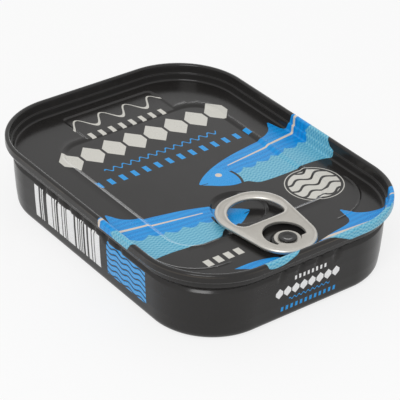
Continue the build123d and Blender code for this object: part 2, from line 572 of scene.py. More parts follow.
class SweepTree:
    """The node tree that carries a section round the tin's outline and presses the flutes."""

    CORNER_POINTS = 90
    INPUTS = (("Length", "NodeSocketFloat"), ("Width", "NodeSocketFloat"),
              ("Corner", "NodeSocketFloat"), ("Path Points", "NodeSocketInt"),
              ("Finish", "NodeSocketMaterial"),
              ("Flute Depth", "NodeSocketFloat"), ("Flute Radius", "NodeSocketFloat"),
              ("Flute Half Length", "NodeSocketFloat"), ("Flute Height", "NodeSocketFloat"),
              ("Side Count", "NodeSocketInt"), ("Side Pitch", "NodeSocketFloat"),
              ("Side Slant", "NodeSocketFloat"), ("Side Centre", "NodeSocketFloat"),
              ("End Count", "NodeSocketInt"), ("End Pitch", "NodeSocketFloat"),
              ("End Slant", "NodeSocketFloat"), ("End Centre", "NodeSocketFloat"))

    def __init__(self) -> None:
        """Builds the tree."""
        self.tree = bpy.data.node_groups.new("swept_section", "GeometryNodeTree")
        self.sockets: Dict[str, str] = {}
        interface = self.tree.interface
        interface.new_socket(name="Section", in_out="INPUT", socket_type="NodeSocketGeometry")
        for name, kind in self.INPUTS:
            item = interface.new_socket(name=name, in_out="INPUT", socket_type=kind)
            self.sockets[name] = item.identifier
        interface.new_socket(name="Swept", in_out="OUTPUT", socket_type="NodeSocketGeometry")
        self.bench = Bench(self.tree)
        self._build()

    def _build(self) -> None:
        """Adds the nodes."""
        bench = self.bench
        given = bench.add("NodeGroupInput")
        value = {name: bench.out(given, name) for name, _ in self.INPUTS}
        outline = bench.add("GeometryNodeCurvePrimitiveQuadrilateral", {"mode": "RECTANGLE"},
                            {"Width": value["Length"], "Height": value["Width"]})
        filleted = bench.add("GeometryNodeFilletCurve", {"mode": "POLY"},
                             {"Curve": bench.out(outline), "Count": self.CORNER_POINTS,
                              "Radius": value["Corner"]})
        evened = bench.add("GeometryNodeResampleCurve", {"mode": "COUNT"},
                           {"Curve": bench.out(filleted), "Count": value["Path Points"]})
        upright = bench.add("GeometryNodeSetCurveNormal", {"mode": "Z_UP"},
                            {"Curve": bench.out(evened)})
        tangent = bench.out(bench.add("GeometryNodeInputTangent"))
        place = bench.out(bench.add("GeometryNodeInputPosition"))
        radial = bench.vector("CROSS_PRODUCT", tangent, (0.0, 0.0, 1.0))
        facing = bench.math("SIGN", bench.vector("DOT_PRODUCT", radial, place, key="Value"))
        outward = bench.scaled(radial, facing)
        kept = self._store(bench.out(upright), "out", "FLOAT_VECTOR", outward)
        kept = self._store(kept, "edge", "FLOAT_VECTOR", place)
        section = bench.add("GeometryNodeMeshToCurve", inputs={0: bench.out(given, "Section")})
        swept = bench.add("GeometryNodeCurveToMesh",
                          inputs={"Curve": kept, "Profile Curve": bench.out(section)})
        out = self._read("out", "FLOAT_VECTOR")
        edge = self._read("edge", "FLOAT_VECTOR")
        inset, height = self._read("inset", "FLOAT"), self._read("height", "FLOAT")
        shift = bench.scaled(out, inset * -1.0)
        rise = bench.out(bench.add("ShaderNodeCombineXYZ", inputs={2: height}))
        spot = bench.vector("ADD", bench.vector("ADD", edge, shift), rise)
        placed = bench.out(bench.add("GeometryNodeSetPosition",
                                     inputs={"Geometry": bench.out(swept), "Position": spot}))
        dent = bench.scaled(out, self._dent(value, out) * -1.0)
        pressed = bench.out(bench.add("GeometryNodeSetPosition",
                                      inputs={"Geometry": placed, "Offset": dent}))
        sheet = bench.scaled(out, self._read("run", "FLOAT"))
        pressed = self._store(pressed, "sheet", "FLOAT_VECTOR", bench.vector("ADD", edge, sheet))
        real = bench.add("GeometryNodeRealizeInstances", inputs={0: pressed})
        dressed = bench.add("GeometryNodeSetMaterial",
                            inputs={"Geometry": bench.out(real), "Material": value["Finish"]})
        bench.close("NodeGroupOutput", dressed)

    def _store(self, geometry: Signal, name: str, kind: str, value: Signal) -> Signal:
        """Keeps a field as a point attribute.

        Args:
            geometry: What to keep it on.
            name: The attribute's name.
            kind: Its data type.
            value: The field.

        Returns:
            The geometry with the attribute.
        """
        return self.bench.out(self.bench.add(
            "GeometryNodeStoreNamedAttribute", {"data_type": kind, "domain": "POINT"},
            {"Geometry": geometry, "Name": name, "Value": value}))

    def _read(self, name: str, kind: str) -> Signal:
        """Reads a point attribute as a field."""
        return self.bench.out(self.bench.add("GeometryNodeInputNamedAttribute",
                                             {"data_type": kind}, {"Name": name}))

    def _dent(self, value: Dict[str, Signal], out: Signal) -> Signal:
        """How deep the flutes press at a place.

        Args:
            value: The tree's inputs by name.
            out: The outward direction.

        Returns:
            The depth in metres.
        """
        bench = self.bench
        place = bench.out(bench.add("GeometryNodeInputPosition"))
        x, y, z = bench.split(place)
        ox, oy, _ = bench.split(out)
        along = y * ox - x * oy
        side = abs(oy).math("GREATER_THAN", STRAIGHT)
        end = abs(ox).math("GREATER_THAN", STRAIGHT)
        depth: Optional[Signal] = None
        for wall, name in ((side, "Side"), (end, "End")):
            count, pitch = value[f"{name} Count"], value[f"{name} Pitch"]
            from_first = (along - value[f"{name} Centre"]) / pitch + (count - 1.0) * 0.5
            number = from_first.math("ROUND").math("MAXIMUM", 0.0).math("MINIMUM", count - 1.0)
            across = (from_first - number) * pitch
            lift = z - value["Flute Height"]
            slant = value[f"{name} Slant"]
            sine, cosine = slant.math("SINE"), slant.math("COSINE")
            lengthways = across * sine + lift * cosine
            sideways = across * cosine - lift * sine
            past = (abs(lengthways) - value["Flute Half Length"]).math("MAXIMUM", 0.0)
            distance = (past * past + sideways * sideways).math("SQRT") / value["Flute Radius"]
            near = (1.0 - distance).math("MAXIMUM", 0.0)
            soft = near * near * (3.0 - 2.0 * near) * wall
            depth = soft if depth is None else depth | soft
        return depth * value["Flute Depth"]

    def sweep(self, name: str, section: np.ndarray, runs: np.ndarray, sizes: TinSizes,
              finish: bpy.types.Material, flutes: Optional[Flutes] = None) -> bpy.types.Object:
        """Carries a section round the outline.

        Args:
            name: The object's name.
            section: Points (inset, height), one row each.
            runs: For each point, how far outside the outline it lies on the flat sheet.
            sizes: The tin's sizes.
            finish: The material.
            flutes: The flutes, if any.

        Returns:
            A plain mesh object.
        """
        places = np.column_stack([-section[:, 0], section[:, 1], np.zeros(len(section))])
        edges = [(k, k + 1) for k in range(len(section) - 1)]
        made = mesh_object(name + "_line", places, [], edges)
        for key, values in (("inset", section[:, 0]), ("height", section[:, 1]), ("run", runs)):
            attribute = made.data.attributes.new(key, "FLOAT", "POINT")
            attribute.data.foreach_set("value", (np.asarray(values) * MM).astype(np.float32))
        modifier = made.modifiers.new("sweep", "NODES")
        modifier.node_group = self.tree
        shape = flutes or Flutes(depth=0.0)
        given = {"Length": sizes.length * MM, "Width": sizes.width * MM,
                 "Corner": sizes.corner * MM, "Path Points": sizes.path_points,
                 "Finish": finish, "Flute Depth": shape.depth * MM,
                 "Flute Radius": shape.radius * MM, "Flute Half Length": shape.half_length * MM,
                 "Flute Height": shape.height * MM, "Side Count": shape.side_count,
                 "Side Pitch": shape.side_pitch * MM, "Side Slant": math.radians(shape.side_slant),
                 "Side Centre": shape.side_centre * MM, "End Count": shape.end_count,
                 "End Pitch": shape.end_pitch * MM, "End Slant": math.radians(shape.end_slant),
                 "End Centre": shape.end_centre * MM}
        for key, value in given.items():
            modifier[self.sockets[key]] = value
        graph = bpy.context.evaluated_depsgraph_get()
        mesh = bpy.data.meshes.new_from_object(made.evaluated_get(graph), depsgraph=graph)
        bpy.data.objects.remove(made)
        mesh.name = name
        swept = bpy.data.objects.new(name, mesh)
        bpy.context.scene.collection.objects.link(swept)
        return swept


# ---------------------------------------------------------------- finishes
def srgb(red: int, green: int, blue: int) -> Colour:
    """A colour as linear RGBA, by the sRGB curve.

    Args:
        red: 0 to 255, as displayed.
        green: 0 to 255, as displayed.
        blue: 0 to 255, as displayed.

    Returns:
        The colour.
    """
    def line(value: int) -> float:
        """One channel."""
        share = value / 255
        return share / 12.92 if share <= 0.04045 else ((share + 0.055) / 1.055) ** 2.4
    return line(red), line(green), line(blue), 1.0


class Piece(Enum):
    """Printed pieces of the tin."""

    LID = "lid"
    BODY = "can_body"


@dataclass(frozen=True)
class Inks:
    """Colours of the lacquer and of what is printed over it."""

    lacquer: Colour = srgb(30, 29, 28)
    lacquer_light: Colour = srgb(40, 38, 37)
    white: Colour = srgb(208, 206, 198)
    # The walls' white is the same ink as white above, painted lighter to stand in for the light on
    # the walls.
    wall_white_painted_lighter: Colour = srgb(236, 236, 236)
    wave_light: Colour = srgb(112, 178, 228)
    blue: Colour = srgb(4, 150, 224)
    deep_blue: Colour = srgb(4, 124, 200)
    pale_blue: Colour = srgb(126, 192, 212)
    pale_line: Colour = srgb(48, 148, 188)
    cream: Colour = srgb(218, 204, 188)
    bare: Colour = srgb(150, 138, 122)


class Drawing:
    """Draws printed shapes as masks on a flat sheet, in millimetres."""

    SOFT = 0.11
    SCALE_REACH = 0.62    # a scale's slanted sides meet this share of the pitch from its middle
    SCALE_HALF = 0.44     # half a scale's width, as a share of the pitch

    def __init__(self, bench: Bench, u: Signal, v: Signal) -> None:
        """Takes the sheet's coordinates.

        Args:
            bench: The material's bench.
            u: Millimetres along the sheet.
            v: Millimetres across it.
        """
        self.bench, self.u, self.v = bench, u, v

    def inside(self, distance: Signal, soft: float = SOFT) -> Signal:
        """A mask that is 1 where a distance is negative."""
        return self.bench.math("MULTIPLY_ADD", distance, -1.0 / soft, 0.5, clamp=True)

    def span(self, value: Signal, low: float, high: float) -> Signal:
        """Distance outside a stretch of one coordinate, negative inside."""
        return abs(value - (low + high) / 2) - (high - low) / 2

    def block(self, area: Area) -> Signal:
        """A mask of an upright rectangle, from its (u0, u1, v0, v1)."""
        return self.inside(self.span(self.u, *area[:2]) | self.span(self.v, *area[2:]))

    def reach(self, centre: Spot) -> Signal:
        """Distance from a point."""
        du, dv = self.u - centre[0], self.v - centre[1]
        return (du * du + dv * dv).math("SQRT")

    def row(self, blocks: "BlockRow") -> Signal:
        """A row of equal blocks along v.

        Args:
            blocks: The row.

        Returns:
            The mask.
        """
        u0, u1, v0, v1 = blocks.area
        pitch = (v1 - v0) / blocks.count
        turn = abs(((self.v - v0) / pitch).math("FRACT") - 0.5) * pitch - blocks.fill * pitch / 2
        return self.inside(self.span(self.u, u0, u1) | self.span(self.v, v0, v1) | turn)

    def scales(self, area: Area, count: int) -> Signal:
        """A band of equal, solid, six-sided scales along v.

        Args:
            area: The band's (u0, u1, v0, v1).
            count: Scales in it.

        Returns:
            The mask.
        """
        u0, u1, v0, v1 = area
        pitch, rise = (v1 - v0) / count, (u1 - u0) / 2
        side = abs(((self.v - v0) / pitch).math("FRACT") - 0.5) * pitch
        up = abs(self.u - (u0 + u1) / 2)
        reach = pitch * self.SCALE_REACH
        slanted = side + up * (reach / rise) - reach
        flank = side - pitch * self.SCALE_HALF
        return self.inside(slanted | flank | self.span(self.v, v0, v1))

    def wave(self, line: "WavyLine") -> Signal:
        """A mask of a wavy line along v.

        Args:
            line: The line.

        Returns:
            The mask.
        """
        swing = (self.v * (2 * math.pi / line.pitch)).math("SINE") * line.height
        away = abs(self.u - swing - line.middle) - line.half
        if line.swell:
            turn = (self.v * (math.pi / line.pitch) + line.phase).math("SINE")
            away = away - abs(turn) * line.swell
        return self.inside(away | self.span(self.v, line.start, line.end))


@dataclass(frozen=True)
class BlockRow:
    """A row of equal blocks: its (u0, u1, v0, v1), and the share of the pitch a block takes."""

    area: Area
    count: int
    fill: float


@dataclass(frozen=True)
class WavyLine:
    """A wavy line along v, in millimetres. A swell thickens it in turns from its phase on."""

    middle: float
    height: float
    pitch: float
    half: float
    start: float
    end: float
    swell: float = 0.0
    phase: float = 0.0


@dataclass(frozen=True)
class Roundel:
    """A disc crossed by wavy lines, inside a thin ring, in millimetres."""

    centre: Spot = (21.9, 23.9)
    radius: float = 7.15
    ring_radius: float = 8.05
    ring_half: float = 0.13
    line_pitch: float = 3.3
    line_share: float = 0.13
    line_soft: float = 0.04
    swing: float = 0.75
    swing_rate: float = 0.95


@dataclass(frozen=True)
class LidLayout:
    """Where the lid's print lies on the flat sheet, in millimetres."""

    scales: Area = (-29.9, -19.9, -27.2, 29.4)
    scale_count: int = 8
    upper_row: BlockRow = BlockRow((-34.9, -32.0, -12.9, 14.6), 8, 0.4)
    corner_row: BlockRow = BlockRow((34.9, 37.7, -24.2, -11.4), 4, 0.6)
    flourish: WavyLine = WavyLine(-40.3, 2.6, 8.4, 0.2, -14.1, 17.1, 0.42, 0.6)
    roundel: Roundel = Roundel()
    blue_wave: WavyLine = WavyLine(-15.8, 0.8, 2.9, 0.27, -18.6, 19.2)
    blue_row: BlockRow = BlockRow((-12.0, -9.1, -26.0, 28.2), 14, 0.38)


@dataclass(frozen=True)
class WallLayout:
    """Where the walls' print lies, as (z, along the wall), in millimetres."""

    panel: Area = (4.4, 14.6, -24.6, 6.8)
    bars: Area = (4.0, 15.0, -22.6, 4.4)
    bar_start: float = -60.0
    bar_width: float = 0.43
    bar_share: float = 0.5
    line_start: float = 0.4
    line_pitch: float = 1.55
    line_share: float = 0.42
    waves: Area = (4.6, 14.6, 10.0, 27.4)
    wave_start: float = -0.2
    wave_pitch: float = 1.75
    wave_share: float = 0.37
    wave_soft: float = 0.06
    wave_rate: float = 1.2
    wave_swing: float = 0.38
    streak_place: float = 0.12
    streak_half: float = 0.07
    streak_soft: float = 0.10
    streak_strength: float = 0.8
    scales: Area = (8.0, 11.2, -10.6, 10.7)
    scale_count: int = 8
    upper_row: BlockRow = BlockRow((12.3, 13.5, -4.9, 6.2), 8, 0.45)
    lower_wave: WavyLine = WavyLine(6.75, 0.32, 1.5, 0.15, -5.9, 7.6)
    lower_row: BlockRow = BlockRow((3.4, 4.8, -8.6, 10.2), 12, 0.5)


@dataclass(frozen=True)
class FishShape:
    """A plain flat fish, seen from the side, in millimetres.

    Spots are (back from the nose, up from the middle line). The back and the belly are
    (back from the nose, width from the middle line).
    """

    length: float = 75.0
    widest: float = 18.0
    back: Tuple[Spot, ...] = (
        (0, 0.2), (2, 1.7), (5, 3.3), (10, 5.1), (16, 6.4), (24, 7.3), (29, 7.7), (32.5, 9.0),
        (35.4, 12.2), (36.2, 13.0), (36.5, 12.0), (37.1, 8.2), (39, 6.7), (45, 5.6), (52, 3.9),
        (57, 2.0), (59.5, 2.2), (65, 5.4), (70, 6.5), (75, 6.6))
    belly: Tuple[Spot, ...] = (
        (0, 0.4), (2, 2.2), (5, 4.6), (8, 6.0), (11, 6.4), (14, 9.0), (22, 10.0), (30, 10.4),
        (36, 11.6), (38, 13.2), (40, 11.0), (46, 7.8), (52, 5.0), (57, 3.0), (60, 4.2), (64, 6.6),
        (69, 7.8), (71.5, 7.4), (73, 4.0), (75, 2.0))
    fork_start: float = 67.5
    fork_middle: float = 1.0
    fork_slope: float = 1.5
    fork_soft: float = 0.55
    cheek: Spot = (2.6, -1.6)
    head_reach: float = 8.4
    gill_reach: float = 8.75
    gill_half: float = 0.38
    gill_top: float = 0.3
    eye: Spot = (7.2, 0.6)
    eye_radius: float = 0.95
    mouth_drop: float = 0.5
    mouth_slope: float = 0.25
    mouth_half: float = 0.14
    mouth_length: float = 2.1
    ripple_rate: float = 0.62
    ripple_height: float = 1.5
    belly_line: float = 1.1
    stripe_start: float = 12.5
    stripe_end: float = 58.0
    stripe_middle: float = 2.3
    stripe_slope: float = 0.055
    stripe_taper: float = 0.012
    stripe_least: float = 0.02
    stripe_most: float = 0.45

    def places(self, line: Tuple[Spot, ...]) -> List[Spot]:
        """The line as a curve from 0 to 1."""
        return [(p / self.length, w / self.widest) for p, w in line]


@dataclass(frozen=True)
class FishSkin:
    """The fish's fine pattern: rates in radians a millimetre, and (gain, base) of each tint."""

    scale_rows: float = 6.0
    scale_sway: float = 2.3
    scale_swing: float = 1.1
    scale_gaps: float = 3.1
    scale_tint: Spot = (0.6, 0.36)
    streak_rows: float = 3.7
    streak_sway: float = 0.35
    streak_tint: Spot = (0.35, 0.3)


@dataclass(frozen=True)
class FishPlace:
    """Where a fish lies on the sheet, and which way it swims."""

    nose: Spot
    tail_way: Spot
    back_side: float


SHOAL = (FishPlace((4.3, -1.6), (-0.06, 1.0), -1.0), FishPlace((20.7, 2.6), (-0.13, -1.0), 1.0),
         FishPlace((49.5, 57.0), (-0.01, -1.0), 1.0))


@dataclass(frozen=True)
class PrintedLacquer:
    """Dark satin lacquer with flat printed shapes, for the lid or the body."""

    piece: Piece
    inks: Inks = Inks()
    roughness: float = 0.18
    roughness_swing: float = 0.08
    ink_roughness: float = 0.10
    fine_scale: float = 2600.0
    broad_scale: float = 130.0
    grain: float = 0.05
    grain_depth: float = 0.00006
    ink_rise: float = 0.25
    worn_metal: float = 0.8
    lip_run: float = 6.72         # the seam's foot, along the flat sheet, in millimetres
    lip_half: float = 0.10
    lip_soft: float = 0.25
    lip_wear: float = 0.75
    rim_run: float = 4.15         # the seam's top
    rim_half: float = 0.02
    rim_soft: float = 0.5
    rim_wear: float = 0.45
    foot_height: float = 0.25
    foot_soft: float = 0.7
    foot_wear: float = 0.5
    ior: float = 1.45
    specular: float = 0.4

    def make(self) -> bpy.types.Material:
        """Builds the material.

        Returns:
            The material.
        """
        material = bpy.data.materials.new(f"printed_lacquer_{self.piece.value}")
        bench = fresh_bench(material)
        place = bench.out(bench.add("ShaderNodeTexCoord"), "Object")
        fine = bench.out(bench.add("ShaderNodeTexNoise", inputs={
            "Vector": place, "Scale": self.fine_scale, "Detail": 2.0, "Roughness": 0.6}))
        broad = bench.out(bench.add("ShaderNodeTexNoise", inputs={
            "Vector": place, "Scale": self.broad_scale, "Detail": 3.0, "Roughness": 0.55}))
        mottle = (fine * 0.75 + broad * 0.5 - 0.1).clamped()
        colour = bench.blend(mottle, self.inks.lacquer, self.inks.lacquer_light)
        if self.piece is Piece.LID:
            run = bench.out(bench.add("ShaderNodeAttribute", {"attribute_name": "run"}), "Fac") / MM
            colour, ink = self._lid_print(bench, colour)
            worn = self._seam_wear(bench, run, broad, fine)
        else:
            colour, ink = self._body_print(bench, colour, place)
            worn = self._body_wear(bench, place, broad, fine)
        colour = bench.blend(worn, colour, self.inks.bare)
        swing = self.roughness_swing
        rough = (fine * swing + broad * swing + (self.roughness - swing)) + ink * self.ink_roughness
        bump = bench.out(bench.add("ShaderNodeBump", inputs={
            "Strength": self.grain, "Distance": self.grain_depth,
            "Height": fine + ink * self.ink_rise}), "Normal")
        shader = bench.add("ShaderNodeBsdfPrincipled", inputs={
            "Base Color": colour, "Roughness": rough, "Metallic": worn * self.worn_metal,
            "Normal": bump, "IOR": self.ior, "Specular IOR Level": self.specular})
        bench.close("ShaderNodeOutputMaterial", shader)
        return material

    def _seam_wear(self, bench: Bench, run: Signal, broad: Signal, fine: Signal) -> Signal:
        """Where the lacquer has come off the seam's foot and its top.

        Args:
            bench: The material's bench.
            run: Distance outside the outline on the flat sheet, in millimetres.
            broad: Coarse noise.
            fine: Fine noise.

        Returns:
            The mask.
        """
        draw = Drawing(bench, run, run)
        patchy = (broad * 3.0 - 1.0).clamped()
        lip = draw.inside(abs(run - self.lip_run) - self.lip_half, self.lip_soft) * self.lip_wear
        rim = draw.inside(abs(run - self.rim_run) - self.rim_half, self.rim_soft)
        rim = rim * patchy * self.rim_wear
        return (lip | rim) * (0.55 + fine * 0.6)

    def _body_wear(self, bench: Bench, place: Signal, broad: Signal, fine: Signal) -> Signal:
        """Where the body's lacquer is rubbed, along its foot.

        Args:
            bench: The material's bench.
            place: Object coordinates.
            broad: Coarse noise.
            fine: Fine noise.

        Returns:
            The mask.
        """
        _, _, z = bench.split(place)
        draw = Drawing(bench, z / MM, z / MM)
        foot = draw.inside(draw.u - self.foot_height, self.foot_soft)
        foot = foot * (broad * 2.4 - 0.9).clamped()
        return foot * self.foot_wear * (0.5 + fine)

    def _skin(self, bench: Bench, p: Signal, q: Signal, shape: FishShape) -> Signal:
        """Colours a fish: streaked back, scaled belly and plain head.

        Args:
            bench: The material's bench.
            p: Millimetres back from the nose.
            q: Millimetres up from the middle line.
            shape: The fish.

        Returns:
            The colour.
        """
        inks, skin, draw = self.inks, FishSkin(), Drawing(bench, p, q)
        ripple = abs((p * shape.ripple_rate).math("SINE")) * shape.ripple_height
        ripple = ripple - shape.ripple_height / 2
        upper = draw.inside(-1.0 * q - (ripple + shape.belly_line))
        sway = (p * skin.scale_sway).math("SINE") * skin.scale_swing
        rows = (q * skin.scale_rows + sway).math("SINE")
        scales = rows * (p * skin.scale_gaps).math("SINE")
        pale = bench.blend(scales.math("MULTIPLY_ADD", *skin.scale_tint, clamp=True),
                           inks.pale_blue, inks.pale_line)
        streaks = (q * skin.streak_rows + (p * skin.streak_sway).math("SINE")).math("SINE")
        back = bench.blend(streaks.math("MULTIPLY_ADD", *skin.streak_tint, clamp=True),
                           inks.blue, inks.deep_blue)
        head = draw.inside(draw.reach(shape.cheek) - shape.head_reach)
        return bench.blend(head, bench.blend(upper, pale, back), inks.blue)

    def _fish(self, bench: Bench, sheet: Tuple[Signal, Signal], colour: Signal, ink: Signal,
              shape: FishShape, spot: FishPlace) -> Tuple[Signal, Signal]:
        """Prints one fish.

        Args:
            bench: The material's bench.
            sheet: Sheet coordinates along the tin and across it.
            colour: What it is printed over.
            ink: The mask of all ink so far.
            shape: The fish.
            spot: Where it lies.

        Returns:
            The colour and the ink mask with the fish added.
        """
        norm = math.hypot(*spot.tail_way)
        tu, tv = spot.tail_way[0] / norm, spot.tail_way[1] / norm
        du, dv = sheet[0] - spot.nose[0], sheet[1] - spot.nose[1]
        p = du * tu + dv * tv
        q = (du * tv - dv * tu) * spot.back_side
        draw = Drawing(bench, p, q)
        share = p / shape.length
        back, belly = (bench.out(bench.add("ShaderNodeFloatCurve", {"points": shape.places(line)},
                                           {"Value": share})) * shape.widest
                       for line in (shape.back, shape.belly))
        fork = p - shape.fork_start - abs(q - shape.fork_middle) * shape.fork_slope
        outline = draw.inside((q - back) | (0.0 - q - belly) | (0.0 - p) | fork * shape.fork_soft)
        body = self._skin(bench, p, q, shape)
        after = draw.inside((shape.stripe_start - p) | (p - shape.stripe_end))
        curve = q - p * shape.stripe_slope
        half = (p * shape.stripe_taper + shape.stripe_least).math("MINIMUM", shape.stripe_most)
        stripe = draw.inside(abs(curve - shape.stripe_middle) - half) * after
        body = bench.blend(stripe, body, self.inks.cream)
        eye = draw.inside(draw.reach(shape.eye) - shape.eye_radius)
        body = bench.blend(eye, body, self.inks.cream)
        arc = draw.inside(abs(draw.reach(shape.cheek) - shape.gill_reach) - shape.gill_half)
        arc = arc * draw.inside(q - shape.gill_top)
        lips = abs(q + shape.mouth_drop + p * shape.mouth_slope) - shape.mouth_half
        mouth = draw.inside(lips) * draw.inside(p - shape.mouth_length)
        shown = outline * (1.0 - (arc | mouth))
        return bench.blend(shown, colour, body), ink | shown

    def _lid_print(self, bench: Bench, colour: Signal) -> Tuple[Signal, Signal]:
        """Prints the lid: scales, rows of blocks, wavy lines, a roundel and three fish.

        Args:
            bench: The material's bench.
            colour: The bare lacquer.

        Returns:
            The colour and the ink mask.
        """
        layout = LidLayout()
        sheet = bench.out(bench.add("ShaderNodeAttribute", {"attribute_name": "sheet"}), "Vector")
        u, v, _ = bench.split(bench.vector("MULTIPLY", sheet, (1 / MM, 1 / MM, 1 / MM)))
        draw = Drawing(bench, u, v)
        white = draw.scales(layout.scales, layout.scale_count)
        white = white | draw.row(layout.upper_row) | draw.row(layout.corner_row)
        white = white | draw.wave(layout.flourish)
        badge = layout.roundel
        disc = draw.reach(badge.centre)
        swell = (u + (v * badge.swing_rate).math("SINE") * badge.swing) / badge.line_pitch
        ripples = draw.inside(abs(swell.math("FRACT") - 0.5) - badge.line_share, badge.line_soft)
        white = white | draw.inside(disc - badge.radius) * (1.0 - ripples)
        white = white | draw.inside(abs(disc - badge.ring_radius) - badge.ring_half)
        colour = bench.blend(white, colour, self.inks.white)
        blue = draw.wave(layout.blue_wave) | draw.row(layout.blue_row)
        colour = bench.blend(blue, colour, self.inks.blue)
        ink = white | blue
        for spot in SHOAL:
            colour, ink = self._fish(bench, (u, v), colour, ink, FishShape(), spot)
        return colour, ink

    def _body_print(self, bench: Bench, colour: Signal, place: Signal) -> Tuple[Signal, Signal]:
        """Prints the walls: a bar panel, a wave panel, and scales with rows of blocks.

        Args:
            bench: The material's bench.
            colour: The bare lacquer.
            place: Object coordinates.

        Returns:
            The colour and the ink mask.
        """
        layout = WallLayout()
        out = bench.out(bench.add("ShaderNodeAttribute", {"attribute_name": "out"}), "Vector")
        ox, oy, _ = bench.split(out)
        x, y, z = bench.split(bench.vector("MULTIPLY", place, (1 / MM, 1 / MM, 1 / MM)))
        along = y * ox - x * oy
        draw = Drawing(bench, z, along)
        sides = abs(oy).math("GREATER_THAN", STRAIGHT)
        ends = abs(ox).math("GREATER_THAN", STRAIGHT)
        front = (oy * -1.0).math("GREATER_THAN", 0.0)
        panel = draw.block(layout.panel)
        step = ((along - layout.bar_start) / layout.bar_width).math("FLOOR")
        toss = bench.out(bench.add("ShaderNodeTexWhiteNoise", {"noise_dimensions": "1D"},
                                   {"W": step}))
        bars = toss.math("GREATER_THAN", layout.bar_share) * draw.block(layout.bars)
        lines = ((z - layout.line_start) / layout.line_pitch).math("FRACT")
        lines = lines.math("LESS_THAN", layout.line_share)
        white = (panel * (1.0 - bars) * front | lines * panel * (1.0 - front)) * sides
        bands = draw.scales(layout.scales, layout.scale_count) | draw.row(layout.upper_row)
        white = white | bands * ends
        # The walls' white print takes the lighter copy of the white ink: painted light.
        colour = bench.blend(white, colour, self.inks.wall_white_painted_lighter)
        ripple = z + (along * layout.wave_rate).math("SINE") * layout.wave_swing
        crests = abs(((ripple - layout.wave_start) / layout.wave_pitch).math("FRACT") - 0.5)
        waves = draw.block(layout.waves) * sides
        waves = waves * draw.inside(crests - layout.wave_share, layout.wave_soft)
        streaks = draw.inside(abs(crests - layout.streak_place) - layout.streak_half,
                              layout.streak_soft)
        tint = bench.blend(streaks * sides * layout.streak_strength, self.inks.blue,
                           self.inks.wave_light)
        blue = waves | (draw.wave(layout.lower_wave) | draw.row(layout.lower_row)) * ends
        return bench.blend(blue, colour, tint), white | blue


@dataclass(frozen=True)
class RolledMetal:
    """Satin rolled metal with a light grain; curled edges smoother, with a painted highlight."""

    face: Colour = srgb(184, 181, 174)
    # The curled edges' colour, lighter than the face: a painted highlight.
    edge: Colour = srgb(214, 211, 204)
    dull: Colour = srgb(150, 144, 137)
    metallic: float = 0.85
    roughness: float = 0.5
    roughness_swing: float = 0.14
    edge_polish: float = 0.12
    grain_stretch: Tuple[float, float, float] = (0.35, 2.2, 1.0)
    grain_scale: float = 2400.0
    cloud_scale: float = 260.0
    grain: float = 0.10
    grain_depth: float = 0.00005

    def make(self) -> bpy.types.Material:
        """Builds the material.

        Returns:
            The material.
        """
        material = bpy.data.materials.new("rolled_metal")
        bench = fresh_bench(material)
        place = bench.out(bench.add("ShaderNodeTexCoord"), "Object")
        stretched = bench.out(bench.add("ShaderNodeMapping", inputs={
            "Vector": place, "Scale": self.grain_stretch}))
        brushed = bench.out(bench.add("ShaderNodeTexNoise", inputs={
            "Vector": stretched, "Scale": self.grain_scale, "Detail": 3.0, "Roughness": 0.65}))
        broad = bench.out(bench.add("ShaderNodeTexNoise", inputs={
            "Vector": place, "Scale": self.cloud_scale, "Detail": 2.0}))
        curled = bench.out(bench.add("ShaderNodeAttribute", {"attribute_name": "curl"}), "Fac")
        # Painted highlight: the curled edges take the lighter edge colour; their real polish is the
        # lower roughness below.
        colour = bench.blend(curled, self.face, self.edge)
        shade = (brushed * 0.5 + broad * 0.5 - 0.3).math("MULTIPLY", 0.9, clamp=True)
        colour = bench.blend(shade, colour, self.dull)
        swing = self.roughness_swing
        rough = brushed * swing + (self.roughness - swing / 2) - curled * self.edge_polish
        bump = bench.out(bench.add("ShaderNodeBump", inputs={
            "Strength": self.grain, "Distance": self.grain_depth, "Height": brushed}), "Normal")
        shader = bench.add("ShaderNodeBsdfPrincipled", inputs={
            "Base Color": colour, "Metallic": self.metallic, "Roughness": rough, "Normal": bump})
        bench.close("ShaderNodeOutputMaterial", shader)
        return material


# ---------------------------------------------------------------- sub-assemblies
def use_only(made: bpy.types.Object, material: bpy.types.Material) -> None:
    """Gives every face of an object one material.

    Args:
        made: The object.
        material: The material.
    """
    made.data.materials.clear()
    made.data.materials.append(material)
    made.data.polygons.foreach_set("material_index", [0] * len(made.data.polygons))


def set_values(made: bpy.types.Object, name: str, values: np.ndarray) -> None:
    """Writes a point attribute.

    Args:
        made: The object.
        name: The attribute's name.
        values: A number or a vector for each point.
    """
    vector = np.ndim(values) == 2
    kind, key = ("FLOAT_VECTOR", "vector") if vector else ("FLOAT", "value")
    attribute = made.data.attributes.get(name) or made.data.attributes.new(name, kind, "POINT")
    attribute.data.foreach_set(key, np.asarray(values, np.float32).ravel())


